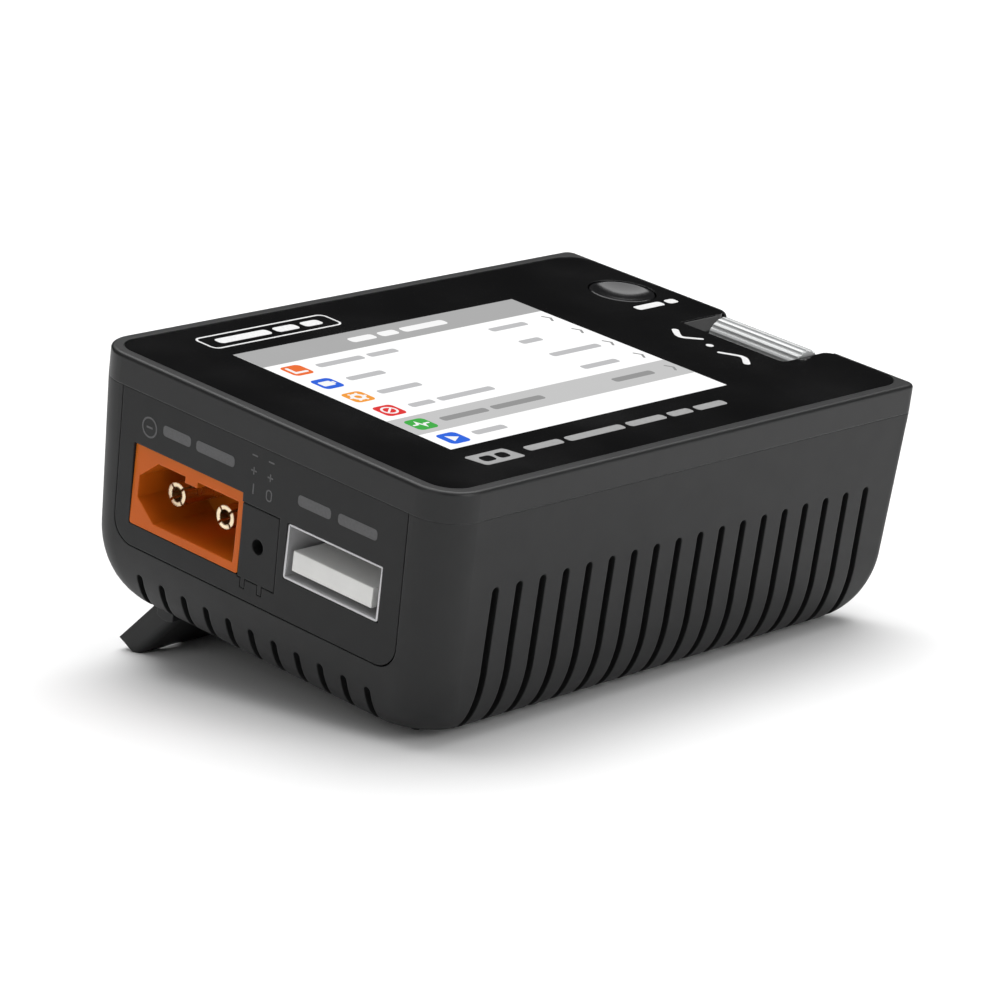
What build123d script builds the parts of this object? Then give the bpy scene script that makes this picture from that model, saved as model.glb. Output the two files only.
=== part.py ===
"""A pocket balance charger for model batteries, standing on its open kickstand.

Every piece is modelled in the charger's own frame: +X to the output end, +Y to the back, +Z up
out of the display, with the origin in the middle of the flat underside. At the end the pieces are
leaned back together onto the feet and the open leg, and the origin moves to the middle of the base.
"""
from build123d import *
from math import cos, radians, sin, sqrt, tan
import os

# ------------------------------------------------------------------ driving dimensions (mm, degrees)
LENGTH = 72.0
WIDTH = 50.8
HEIGHT = 26.9
BAND_HEIGHT = 3.15          # upright band round the top, above the drafted walls
WALL = 1.6
SIDE_DRAFT = 1.3
END_DRAFT = 1.9
SIDE_ROUND_HEIGHT = 7.3     # the bottom rounds are taller than they are wide
SIDE_ROUND_WIDTH = 3.55
END_ROUND_HEIGHT = 8.1
END_ROUND_WIDTH = 3.6
LEFT_CORNER = 4.34          # plan radii at the top, and how fast they grow as the walls come in
LEFT_GROWTH = 0.36
RIGHT_CORNER = 1.2
RIGHT_GROWTH = 0.7
SEAM_Z = HEIGHT - BAND_HEIGHT
EDGE_ROUND = 0.4

RIM = 1.4                   # rim round the cover plate; the right end has almost none
RIGHT_RIM = 0.35
PLATE_GAP = 0.08
PLATE_LEFT_CORNER = LEFT_CORNER - RIM
PLATE_RIGHT_CORNER = 3.3
PLATE_THICKNESS = 0.8
PLATE_TOP = HEIGHT - 0.1
PLATE_Z = PLATE_TOP - PLATE_THICKNESS
SCREEN_SIZE = (41.7, 31.1)
SCREEN_CENTRE = (-4.74, 0.15)

VENT_COUNT = 18
VENT_PITCH = 3.383
VENT_WIDTH = 1.0
VENT_TOP = 16.2
VENT_CENTRE = 1.17
SLOT_COUNT = 11
SLOT_PITCH = 3.32
SLOT_WIDTH = 0.9
SLOT_TOP = 4.1

PANEL_HALF_WIDTH = 20.35
PANEL_BOTTOM = 7.1
PANEL_CORNER = 2.7
PANEL_GAP = 0.12

REST_TILT = 9.5             # the case leans back this far when the leg is out
LEG_ANGLE = 48.0            # open leg, below the underside
LEG_THICKNESS = 2.96
LEG_LENGTH = 58.4
LEG_END_SLANT = 19.0
LEG_TIP_ROUND = 1.6
LEG_SIDE_ROUND = 0.9
SCALLOP_X = 24.6
HINGE_Y = 14.85
HINGE_Z = 1.7
HINGE_RADIUS = 0.75
RUNNING_GAP = 0.05
STAND_GAP = 0.3
FOOT_HEIGHT = 1.0
FOOT_FRONT_Y = -18.9
FOOT_ROUND = 0.25

BOARD_Z = 7.7
BOARD_TOP = 9.3
BOARD_SIZE = (64.4, 46.0)
UI_BOARD_Z = 22.4
UI_BOARD_TOP = 23.4
CASE_SCREWS = [(x, y) for x in (-16.0, 16.0) for y in (-20.6, 20.6)]
BOARD_SCREWS = [(x, y) for x in (-27.0, 27.0) for y in (-20.9, 20.9)]
CASE_SCREW_RADIUS = 1.0
BOARD_SCREW_RADIUS = 0.8

NOTCH_X = 28.0              # bay for the roller, open through the top and the right end
NOTCH_FRONT = -13.25
NOTCH_BACK = 1.35
NOTCH_FLARE = 1.0           # convex rounds where the cover plate meets the bay's open end
SHOULDER_ROUND = 1.2        # and where the end wall drops into the bay
RELIEF_FLOOR = 22.3         # thinned end wall behind the roller
RELIEF_X = 34.75
ROLLER_RADIUS = 2.2
ROLLER_X = 32.45
ROLLER_Z = 25.2
ROLLER_FRONT = -12.95
ROLLER_BACK = -0.7
ROLLER_FLUTES = 18
FLUTE_RADIUS = 0.22
AXLE_RADIUS = 0.7

BUTTON_CENTRE = (30.3, 12.1)
BUTTON_RADIUS = 3.72
BUTTON_FLANGE = 0.65
BUTTON_DISH = 7.5

POWER_SIZE = (16.1, 8.7)
POWER_CENTRE = (10.15, 13.85)
POWER_PITCH = 7.2
POWER_PIN_RADIUS = 1.27
PIN_HOLE_RADIUS = 0.78
PIN_SLIT = 0.22
USB_SIZE = (13.2, 5.75)
USB_CENTRE = (-11.05, 14.33)
PLUG_SIZE = (5.2, 7.85)
PLUG_CENTRE = (-0.65, 13.3)
PLUG_GAP = 0.1
BALANCE_SIZE = (19.9, 5.8)
BALANCE_CENTRE = (-8.6, 12.2)
BALANCE_PINS = 7
BALANCE_PITCH = 2.5
CONNECTOR_FACE = LENGTH / 2 - 0.5

FAN_SIZE = 17.0
FAN_Y = 17.7
FAN_DEPTH = 5.0
FAN_Z = 13.5
FAN_BORE = 7.8
FAN_HUB = 3.4
FAN_BLADES = 7

BAY_MIDDLE = (NOTCH_FRONT + NOTCH_BACK) / 2
BAY_WIDTH = NOTCH_BACK - NOTCH_FRONT


# ------------------------------------------------------------------ shared shapes
def wall_inset(z, draft, round_height, round_width, floor_z):
    """How far a case wall has come in below the seam: its draft, then its bottom round."""
    inset = (SEAM_Z - z) * tan(radians(draft))
    if z < round_height:
        depth = min((round_height - z) / (round_height - floor_z), 1.0)
        inset += round_width * (1 - sqrt(1 - depth * depth))
    return inset


def case_section(z, wall):
    """The case's outline at one height, or the outline of the cavity that leaves this wall."""
    tighter = 0.75 * wall
    end = wall_inset(z, END_DRAFT, END_ROUND_HEIGHT, END_ROUND_WIDTH - tighter, wall)
    side = wall_inset(z, SIDE_DRAFT, SIDE_ROUND_HEIGHT, SIDE_ROUND_WIDTH - tighter, wall)
    mean = (end + side) / 2
    left = max(LEFT_CORNER + LEFT_GROWTH * mean - wall, 1.0)
    right = max(RIGHT_CORNER + RIGHT_GROWTH * mean - wall, 0.6)
    with BuildSketch(Plane.XY.offset(z)) as section:
        Rectangle(LENGTH - 2 * (end + wall), WIDTH - 2 * (side + wall))
        fillet(section.vertices().group_by(Axis.X)[0], left)
        fillet(section.vertices().group_by(Axis.X)[-1], right)
    return section.sketch


def case_solid(wall=0.0):
    """The lower case as a solid block, or its cavity."""
    steps = 7
    tall = END_ROUND_HEIGHT - wall
    heights = [END_ROUND_HEIGHT - tall * sin(radians(90 * i / steps)) for i in range(steps + 1)]
    with BuildPart() as solid:
        loft([case_section(SEAM_Z, wall), case_section(END_ROUND_HEIGHT, wall)], ruled=True)
        loft([case_section(z, wall) for z in heights])
    return solid.part


def plate_outline(grow):
    """The cover plate's outline, grown for the pocket that holds it."""
    width = LENGTH - RIM - RIGHT_RIM + 2 * grow
    with BuildSketch(mode=Mode.PRIVATE) as outline:
        with Locations(((RIM - RIGHT_RIM) / 2, 0)):
            Rectangle(width, WIDTH - 2 * RIM + 2 * grow)
        fillet(outline.vertices().group_by(Axis.X)[0], PLATE_LEFT_CORNER + grow)
        fillet(outline.vertices().group_by(Axis.X)[-1], PLATE_RIGHT_CORNER + grow)
    return outline.sketch


def bay_outline():
    """The roller's bay from above, with its front inner corner round."""
    with BuildSketch(mode=Mode.PRIVATE) as outline:
        with Locations(((NOTCH_X + LENGTH / 2) / 2, BAY_MIDDLE)):
            Rectangle(LENGTH / 2 - NOTCH_X, BAY_WIDTH)
        with Locations((LENGTH / 2 + 1, BAY_MIDDLE)):
            Rectangle(2, BAY_WIDTH + 6)
        inner_corners = outline.vertices().group_by(Axis.X)[0]
        fillet(inner_corners.sort_by(Axis.Y)[:1], 0.8)
    return outline.sketch


def box_between(low, high, mode=Mode.ADD):
    """A box from its low corner to its high corner."""
    size = [b - a for a, b in zip(low, high)]
    with Locations(tuple((a + b) / 2 for a, b in zip(low, high))):
        Box(*size, mode=mode)


def level(y, z):
    """A point's height along the table's normal when the case leans back on its leg."""
    return y * sin(radians(REST_TILT)) + z * cos(radians(REST_TILT))


def end_plane(side, distance):
    """A plane across the case at this distance from its middle, facing out of the chosen end."""
    return Plane(origin=(side * distance, 0, 0), x_dir=(0, side, 0), z_dir=(side, 0, 0))


def keyed_outline(width, height, chamfer_y, chamfer_z):
    """A power connector's outline, with its two positive-side corners cut."""
    half_w, half_h = width / 2, height / 2
    with BuildSketch(mode=Mode.PRIVATE) as outline:
        with BuildLine():
            Polyline(
                (-half_w, -half_h),
                (half_w - chamfer_y, -half_h),
                (half_w, -half_h + chamfer_z),
                (half_w, half_h - chamfer_z),
                (half_w - chamfer_y, half_h),
                (-half_w, half_h),
                close=True,
            )
        make_face()
    return outline.sketch


# ------------------------------------------------------------------ the lower case
leg_plane = Plane(
    origin=(0, HINGE_Y, HINGE_Z),
    x_dir=(0, cos(radians(LEG_ANGLE)), -sin(radians(LEG_ANGLE))),
    z_dir=(1, 0, 0),
)


def stop_wall_y(z):
    """Where the sloped back wall of the leg's recess stands at one height."""
    away = LEG_THICKNESS / 2 + STAND_GAP / 2
    return HINGE_Y + (away - cos(radians(LEG_ANGLE)) * (z - HINGE_Z)) / sin(radians(LEG_ANGLE))


RECESS_FRONT = 1.5
RECESS_ROOF = 3.55
RECESS_SKIN = 1.2
RECESS_HALF = LEG_LENGTH / 2 + STAND_GAP
LUG_RADIUS = 2.6
LUG_THICKNESS = 2.8

with BuildPart() as lower_shell:
    add(case_solid())
    add(case_solid(WALL), mode=Mode.SUBTRACT)
    # Raised floor over the leg's recess, with its back sloped like the open leg.
    with BuildSketch(Plane.YZ.offset(-RECESS_HALF - RECESS_SKIN)) as raised_floor:
        with BuildLine():
            Polyline(
                (RECESS_FRONT - RECESS_SKIN, WALL / 2),
                (RECESS_FRONT - RECESS_SKIN, RECESS_ROOF + RECESS_SKIN),
                (stop_wall_y(RECESS_ROOF) + RECESS_SKIN, RECESS_ROOF + RECESS_SKIN),
                (stop_wall_y(WALL / 2) + 1.4 * RECESS_SKIN, WALL / 2),
                close=True,
            )
        make_face()
    extrude(amount=2 * (RECESS_HALF + RECESS_SKIN))
    # Half-round lugs under both ends of the hinge.
    with BuildSketch(Plane.YZ.offset(-RECESS_HALF - LUG_THICKNESS)):
        with Locations((HINGE_Y, HINGE_Z)):
            Circle(LUG_RADIUS)
    extrude(amount=2 * (RECESS_HALF + LUG_THICKNESS))
    with BuildSketch(Plane.YZ.offset(-RECESS_HALF)) as recess:
        with BuildLine():
            Polyline(
                (RECESS_FRONT, -1),
                (RECESS_FRONT, RECESS_ROOF),
                (stop_wall_y(RECESS_ROOF), RECESS_ROOF),
                (stop_wall_y(-1), -1),
                close=True,
            )
        make_face()
    extrude(amount=2 * RECESS_HALF, mode=Mode.SUBTRACT)
    # Finger scoop at the front of the recess.
    with BuildSketch(Plane.XY.offset(-0.5)) as scoop:
        with Locations((0, RECESS_FRONT - 1.0)):
            SlotOverall(15, 5)
    extrude(amount=1.5, mode=Mode.SUBTRACT)
    # Upright vents along the front and the back, and short slots under both ends.
    vent_reach = WIDTH / 2 - 5.1
    for side in (1, -1):
        with BuildSketch(Plane.XZ.offset(side * vent_reach)) as vents:
            with Locations((VENT_CENTRE, VENT_TOP / 2 - 1)):
                with GridLocations(VENT_PITCH, 1, VENT_COUNT, 1):
                    SlotOverall(VENT_TOP + 2, VENT_WIDTH, rotation=90)
        extrude(amount=side * 7, mode=Mode.SUBTRACT)
        with BuildSketch(end_plane(side, LENGTH / 2 - 5.5)) as end_slots:
            with Locations((0, SLOT_TOP / 2 - 1)):
                with GridLocations(SLOT_PITCH, 1, SLOT_COUNT, 1):
                    SlotOverall(SLOT_TOP + 2, SLOT_WIDTH, rotation=90)
        extrude(amount=7, mode=Mode.SUBTRACT)
        # Opening for the connector panel, up to the seam.
        with BuildSketch(end_plane(side, LENGTH / 2 - 3.2)) as opening:
            with Locations((0, (PANEL_BOTTOM - PANEL_GAP + SEAM_Z + 3) / 2)):
                Rectangle(2 * (PANEL_HALF_WIDTH + PANEL_GAP), SEAM_Z + 3 - PANEL_BOTTOM + PANEL_GAP)
            fillet(opening.vertices().group_by(Axis.Y)[0], PANEL_CORNER)
        extrude(amount=5, mode=Mode.SUBTRACT)
    # Posts for the case screws and for the main board.
    with BuildSketch(Plane.XY.offset(1.2)) as case_posts:
        with Locations(*CASE_SCREWS):
            Circle(2.2)
    extrude(amount=BOARD_TOP - 1.2)
    with BuildSketch(Plane.XY.offset(1.2)) as board_posts:
        with Locations(*BOARD_SCREWS):
            Circle(1.9)
    extrude(amount=BOARD_Z - 1.2)
    with Locations(*[Plane(origin=(x, y, 0), z_dir=(0, 0, -1)) for x, y in CASE_SCREWS]):
        CounterBoreHole(CASE_SCREW_RADIUS + 0.15, 1.85, 1.2, BOARD_TOP + 1)
    with Locations(*[Plane(origin=(x, y, BOARD_Z)) for x, y in BOARD_SCREWS]):
        Hole(BOARD_SCREW_RADIUS, 4)
    # Bores for the two hinge pins, in the webs at the ends of the recess.
    with BuildSketch(Plane.YZ.offset(-RECESS_HALF - 1.6)) as pin_bores:
        with Locations((HINGE_Y, HINGE_Z)):
            Circle(HINGE_RADIUS)
    extrude(amount=2 * (RECESS_HALF + 1.6), mode=Mode.SUBTRACT)
lower_shell.part.label = "lower_shell"

# ------------------------------------------------------------------ the upper case
FRAME_WALL = 2.6
RIGHT_FRAME_WALL = 2.1

with BuildPart() as upper_shell:
    with BuildSketch(Plane.XY.offset(SEAM_Z)):
        add(case_section(SEAM_Z, 0.0).moved(Location((0, 0, -SEAM_Z))))
    extrude(amount=BAND_HEIGHT)
    fillet(upper_shell.edges().group_by(Axis.Z)[-1], EDGE_ROUND)
    with BuildSketch(Plane.XY.offset(PLATE_Z)):
        add(plate_outline(PLATE_GAP))
    extrude(amount=2, mode=Mode.SUBTRACT)
    with BuildSketch(Plane.XY.offset(SEAM_Z)) as inside:
        with Locations(((FRAME_WALL - RIGHT_FRAME_WALL) / 2, 0)):
            Rectangle(LENGTH - FRAME_WALL - RIGHT_FRAME_WALL, WIDTH - 2 * FRAME_WALL)
        fillet(inside.vertices().group_by(Axis.X)[0], 1.8)
    extrude(amount=HEIGHT, mode=Mode.SUBTRACT)
    # Walls of the roller's bay, under the cover plate.
    with BuildSketch(Plane.XY.offset(SEAM_Z)) as bay_walls:
        with Locations(((NOTCH_X + LENGTH / 2) / 2 - 1, BAY_MIDDLE)):
            Rectangle(LENGTH / 2 - NOTCH_X, BAY_WIDTH + 2)
    extrude(amount=PLATE_Z - SEAM_Z)
    with BuildSketch(Plane.XY.offset(SEAM_Z)):
        add(bay_outline())
    extrude(amount=BAND_HEIGHT, mode=Mode.SUBTRACT)
    # The end wall drops into the bay in round shoulders.
    with BuildSketch(Plane.YZ.offset(LENGTH / 2 - RIGHT_RIM)) as shoulders:
        with Locations((BAY_MIDDLE, HEIGHT)):
            Rectangle(BAY_WIDTH, 2 * BAND_HEIGHT)
        with Locations((BAY_MIDDLE, HEIGHT + BAND_HEIGHT / 2)):
            Rectangle(BAY_WIDTH + 6, BAND_HEIGHT)
        fillet(shoulders.vertices().group_by(Axis.Y)[1].sort_by(Axis.X)[1:-1], SHOULDER_ROUND)
    extrude(amount=1, mode=Mode.SUBTRACT)
    with BuildSketch(Plane.XY.offset(SEAM_Z)):
        with Locations(BUTTON_CENTRE):
            Circle(BUTTON_RADIUS + BUTTON_FLANGE + 0.2)
    extrude(amount=PLATE_Z - SEAM_Z, mode=Mode.SUBTRACT)
    # Screw bosses hang down past the main board, and gussets tie them to the front and back walls.
    with BuildSketch(Plane.XY.offset(BOARD_TOP + 0.1)) as bosses:
        with Locations(*CASE_SCREWS):
            Circle(1.9)
    extrude(amount=PLATE_Z - BOARD_TOP - 0.1)
    for x, y in CASE_SCREWS:
        outward = 1 if y > 0 else -1
        near = sorted((outward * 20.6, outward * 23.4))
        box_between((x - 0.9, near[0], SEAM_Z + 0.2), (x + 0.9, near[1], PLATE_Z))
    with BuildSketch(Plane.XY.offset(BOARD_TOP)) as thread_holes:
        with Locations(*CASE_SCREWS):
            Circle(CASE_SCREW_RADIUS)
    extrude(amount=6, mode=Mode.SUBTRACT)
upper_shell.part.label = "upper_shell"

with BuildPart() as top_plate:
    with BuildSketch(Plane.XY.offset(PLATE_Z)) as plate:
        add(plate_outline(0))
        with Locations(SCREEN_CENTRE):
            Rectangle(SCREEN_SIZE[0] + 0.06, SCREEN_SIZE[1] + 0.06, mode=Mode.SUBTRACT)
        with Locations(BUTTON_CENTRE):
            Circle(BUTTON_RADIUS + 0.15, mode=Mode.SUBTRACT)
        add(bay_outline(), mode=Mode.SUBTRACT)
        right_edge = plate.vertices().group_by(Axis.X)[-1].sort_by(Axis.Y)
        fillet(right_edge[1:-1], NOTCH_FLARE)
    extrude(amount=PLATE_THICKNESS)
top_plate.part.label = "top_plate"

# ------------------------------------------------------------------ display and user board
with BuildPart() as display_glass:
    with BuildSketch(Plane.XY.offset(PLATE_Z)):
        with Locations(SCREEN_CENTRE):
            Rectangle(*SCREEN_SIZE)
    extrude(amount=PLATE_THICKNESS)
display_glass.part.label = "display_glass"

MODULE_SIZE = (46.0, 35.0)
GASKET_THICKNESS = 0.3

with BuildPart() as display_gasket:
    with BuildSketch(Plane.XY.offset(PLATE_Z - GASKET_THICKNESS)):
        with Locations(SCREEN_CENTRE):
            Rectangle(*MODULE_SIZE)
            Rectangle(MODULE_SIZE[0] - 3, MODULE_SIZE[1] - 3, mode=Mode.SUBTRACT)
    extrude(amount=GASKET_THICKNESS)
display_gasket.part.label = "display_gasket"

with BuildPart() as display_module:
    with BuildSketch(Plane.XY.offset(UI_BOARD_TOP)) as module_outline:
        with Locations(SCREEN_CENTRE):
            Rectangle(*MODULE_SIZE)
        fillet(module_outline.vertices(), 0.6)
    extrude(amount=PLATE_Z - GASKET_THICKNESS - UI_BOARD_TOP)
    chamfer(display_module.edges().group_by(Axis.Z)[-1], 0.2)
display_module.part.label = "display_module"

UI_CUTOUT_BACK = 1.45
UI_CUTOUT_FRONT = -13.75

with BuildPart() as ui_board:
    with BuildSketch(Plane.XY.offset(UI_BOARD_Z)) as ui_outline:
        Rectangle(66.0, 44.6)
        fillet(ui_outline.vertices(), 2.0)
        with Locations((NOTCH_X + 5, (UI_CUTOUT_BACK + UI_CUTOUT_FRONT) / 2)):
            Rectangle(10, UI_CUTOUT_BACK - UI_CUTOUT_FRONT, mode=Mode.SUBTRACT)
        with Locations(*[(x, y * 1.04) for x, y in CASE_SCREWS]):
            Rectangle(4.6, 5.6, mode=Mode.SUBTRACT)
    extrude(amount=UI_BOARD_TOP - UI_BOARD_Z)
ui_board.part.label = "ui_board"

with BuildPart() as controller_chip:
    with BuildSketch(Plane.XY.offset(UI_BOARD_Z - 1.0)):
        with Locations((4, 8)):
            Rectangle(9, 9)
    extrude(amount=1.0)
    chamfer(controller_chip.edges().group_by(Axis.Z)[0], 0.15)
controller_chip.part.label = "controller_chip"

HEADER_X = -17.3
HEADER_Y = -7.0
HEADER_PINS = 5
HEADER_PITCH = 2.54

with BuildPart() as board_header:
    with BuildSketch(Plane.XY.offset(BOARD_TOP)):
        with Locations((HEADER_X, HEADER_Y)):
            Rectangle(2.5, HEADER_PINS * HEADER_PITCH)
    extrude(amount=2.5)
    with BuildSketch(Plane.XY.offset(BOARD_TOP)):
        with Locations((HEADER_X, HEADER_Y)):
            with GridLocations(1, HEADER_PITCH, 1, HEADER_PINS):
                Rectangle(0.64, 0.64)
    extrude(amount=7.5)
board_header.part.label = "board_header"

with BuildPart() as board_socket:
    with BuildSketch(Plane.XY.offset(BOARD_TOP + 2.5)):
        with Locations((HEADER_X, HEADER_Y)):
            Rectangle(2.5, HEADER_PINS * HEADER_PITCH)
    extrude(amount=UI_BOARD_Z - BOARD_TOP - 2.5)
    with BuildSketch(Plane.XY.offset(BOARD_TOP + 2.5)):
        with Locations((HEADER_X, HEADER_Y)):
            with GridLocations(1, HEADER_PITCH, 1, HEADER_PINS):
                Rectangle(0.8, 0.8)
    extrude(amount=5.5, mode=Mode.SUBTRACT)
board_socket.part.label = "board_socket"

# ------------------------------------------------------------------ exit button
BUTTON_Z = 25.2
SWITCH_HEIGHT = 1.3

with BuildPart() as exit_button:
    with BuildSketch(Plane.XY.offset(BUTTON_Z)):
        with Locations(BUTTON_CENTRE):
            Circle(BUTTON_RADIUS)
    extrude(amount=PLATE_TOP - BUTTON_Z)
    fillet(exit_button.edges().group_by(Axis.Z)[-1], 0.2)
    with BuildSketch(Plane.XY.offset(BUTTON_Z)):
        with Locations(BUTTON_CENTRE):
            Circle(BUTTON_RADIUS + BUTTON_FLANGE)
    extrude(amount=0.55)
    dish_depth = (BUTTON_RADIUS - 0.35) ** 2 / (2 * BUTTON_DISH)
    with Locations((*BUTTON_CENTRE, PLATE_TOP - dish_depth + BUTTON_DISH)):
        Sphere(BUTTON_DISH, mode=Mode.SUBTRACT)
exit_button.part.label = "exit_button"

with BuildPart() as exit_plunger:
    with BuildSketch(Plane.XY.offset(UI_BOARD_TOP + SWITCH_HEIGHT - 0.1)):
        with Locations(BUTTON_CENTRE):
            Circle(0.9)
    extrude(amount=BUTTON_Z - UI_BOARD_TOP - SWITCH_HEIGHT + 0.1)
exit_plunger.part.label = "exit_plunger"

with BuildPart() as exit_switch:
    with BuildSketch(Plane.XY.offset(UI_BOARD_TOP)):
        with Locations(BUTTON_CENTRE):
            Rectangle(5.2, 5.2)
    extrude(amount=SWITCH_HEIGHT)
    fillet(exit_switch.edges().filter_by(Axis.Z), 0.5)
    with Locations((*BUTTON_CENTRE, UI_BOARD_TOP + SWITCH_HEIGHT)):
        Hole(1.1, 0.6)
exit_switch.part.label = "exit_switch"

# ------------------------------------------------------------------ roller, its carriage and its switch
ROLLER_LENGTH = ROLLER_BACK - ROLLER_FRONT
roller_back_plane = Plane(origin=(ROLLER_X, ROLLER_BACK, ROLLER_Z), x_dir=(1, 0, 0), z_dir=(0, -1, 0))
CHEEK_FRONT = -0.35
CHEEK_BACK = 1.2
CHEEK_TOP = 26.75
CHEEK_LENGTH = 5.7
CARRIAGE_Z = 21.7
CARRIAGE_FLOOR = 0.6

with BuildPart() as roller:
    with BuildSketch(roller_back_plane):
        Circle(ROLLER_RADIUS)
    extrude(amount=ROLLER_LENGTH)
    chamfer(roller.edges(), 0.15)
    with BuildSketch(roller_back_plane):
        with PolarLocations(ROLLER_RADIUS, ROLLER_FLUTES):
            Circle(FLUTE_RADIUS)
    extrude(amount=ROLLER_LENGTH, mode=Mode.SUBTRACT)
    with BuildSketch(roller_back_plane):
        Circle(AXLE_RADIUS + RUNNING_GAP)
    extrude(amount=ROLLER_LENGTH - 0.6, mode=Mode.SUBTRACT)
roller.part.label = "roller"

with BuildPart() as roller_axle:
    with BuildSketch(roller_back_plane.offset(ROLLER_BACK - CHEEK_FRONT)):
        Circle(AXLE_RADIUS)
    extrude(amount=ROLLER_LENGTH - 0.9 + CHEEK_FRONT - ROLLER_BACK)
roller_axle.part.label = "roller_axle"

with BuildPart() as roller_carriage:
    # The cheek behind the roller fills the bay, and its top slopes down to the roller.
    with BuildSketch(Plane.YZ.offset(NOTCH_X + STAND_GAP)):
        with BuildLine():
            Polyline(
                (CHEEK_FRONT, CARRIAGE_Z),
                (CHEEK_FRONT, ROLLER_Z + AXLE_RADIUS),
                (CHEEK_BACK, CHEEK_TOP),
                (CHEEK_BACK, CARRIAGE_Z),
                close=True,
            )
        make_face()
    extrude(amount=CHEEK_LENGTH)
    box_between((29.5, ROLLER_FRONT, CARRIAGE_Z), (33.5, CHEEK_BACK, CARRIAGE_Z + CARRIAGE_FLOOR))
    with BuildSketch(Plane.XY.offset(CARRIAGE_Z - 0.5)):
        with Locations((31.5, -6.2)):
            Circle(0.8)
    extrude(amount=0.5)
roller_carriage.part.label = "roller_carriage"

with BuildPart() as roller_switch:
    box_between((29.0, -8.7, 20.0), (33.2, -3.7, CARRIAGE_Z - 0.4))
    fillet(roller_switch.edges().filter_by(Axis.Z), 0.4)
    with Locations((31.5, -6.2, CARRIAGE_Z - 0.4)):
        Hole(1.0, 0.6)
roller_switch.part.label = "roller_switch"

with BuildPart() as roller_base:
    box_between((28.4, -14.9, 19.0), (33.3, 2.6, 20.0))
    box_between((28.4, -14.9, 20.0), (33.3, -13.9, UI_BOARD_Z))
    box_between((28.4, 1.6, 20.0), (33.3, 2.6, UI_BOARD_Z))
roller_base.part.label = "roller_base"

# ------------------------------------------------------------------ main board and what stands on it
with BuildPart() as main_board:
    with BuildSketch(Plane.XY.offset(BOARD_Z)) as board_outline:
        Rectangle(*BOARD_SIZE)
        fillet(board_outline.vertices(), 2.5)
        with Locations((0, BOARD_SIZE[1] / 2)):
            Rectangle(FAN_SIZE + 1, 2 * (BOARD_SIZE[1] / 2 - FAN_Y + 0.4), mode=Mode.SUBTRACT)
        with Locations(*CASE_SCREWS):
            Circle(2.5, mode=Mode.SUBTRACT)
        with Locations(*BOARD_SCREWS):
            Circle(BOARD_SCREW_RADIUS + 0.1, mode=Mode.SUBTRACT)
    extrude(amount=BOARD_TOP - BOARD_Z)
main_board.part.label = "main_board"

with BuildPart() as inductors:
    with BuildSketch(Plane.XY.offset(BOARD_TOP)) as inductor_outline:
        with Locations((-8.6, -6.0), (6.6, -6.0)):
            RectangleRounded(12.5, 12.5, 1.5)
    extrude(amount=6.5)
    fillet(inductors.edges().group_by(Axis.Z)[-1], 0.6)
inductors.part.label = "inductors"

with BuildPart() as capacitors:
    with BuildSketch(Plane.XY.offset(BOARD_TOP)):
        with Locations((-8.6, -17.4), (0, -17.4), (8.6, -17.4)):
            Circle(4.0)
    extrude(amount=11.5)
    fillet(capacitors.edges().group_by(Axis.Z)[-1], 0.5)
capacitors.part.label = "capacitors"

with BuildPart() as mosfets:
    with BuildSketch(Plane.XY.offset(BOARD_TOP)):
        with Locations((0, 9.3)):
            with GridLocations(7.5, 1, 4, 1):
                Rectangle(5.0, 6.0)
    extrude(amount=1.0)
mosfets.part.label = "mosfets"

HEATSINK_Z = BOARD_TOP + 1.4

with BuildPart() as thermal_pad:
    with BuildSketch(Plane.XY.offset(BOARD_TOP + 1.0)):
        with Locations((0, 9.3)):
            Rectangle(28.5, 7.0)
    extrude(amount=0.4)
thermal_pad.part.label = "thermal_pad"

with BuildPart() as heatsink:
    with BuildSketch(Plane.XY.offset(HEATSINK_Z)):
        with Locations((0, 9.3)):
            Rectangle(30.0, 11.0)
    extrude(amount=1.4)
    with BuildSketch(Plane.XY.offset(HEATSINK_Z + 1.4)):
        with Locations((0, 9.3)):
            with GridLocations(2.9, 1, 11, 1):
                Rectangle(0.9, 11.0)
    extrude(amount=6.0)
heatsink.part.label = "heatsink"

with BuildPart() as shunt_resistors:
    with BuildSketch(Plane.XY.offset(BOARD_TOP)):
        with Locations((16.6, -3.0), (20.8, -3.0)):
            Rectangle(3.2, 6.3)
    extrude(amount=0.8)
shunt_resistors.part.label = "shunt_resistors"

with BuildPart() as buzzer:
    with BuildSketch(Plane.XY.offset(BOARD_TOP)):
        with Locations((19.0, -11.8)):
            Circle(4.4)
    extrude(amount=5.0)
    with Locations((19.0, -11.8, BOARD_TOP + 5.0)):
        Hole(0.9, 1.5)
buzzer.part.label = "buzzer"

# ------------------------------------------------------------------ connector panels
PANEL_FOOT = 17.0


def port_opening(size, centre, gap):
    """A rectangle for one connector, on a panel seen from outside at the input end."""
    with Locations((-centre[0], centre[1])):
        Rectangle(size[0] + 2 * gap, size[1] + 2 * gap)


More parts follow.
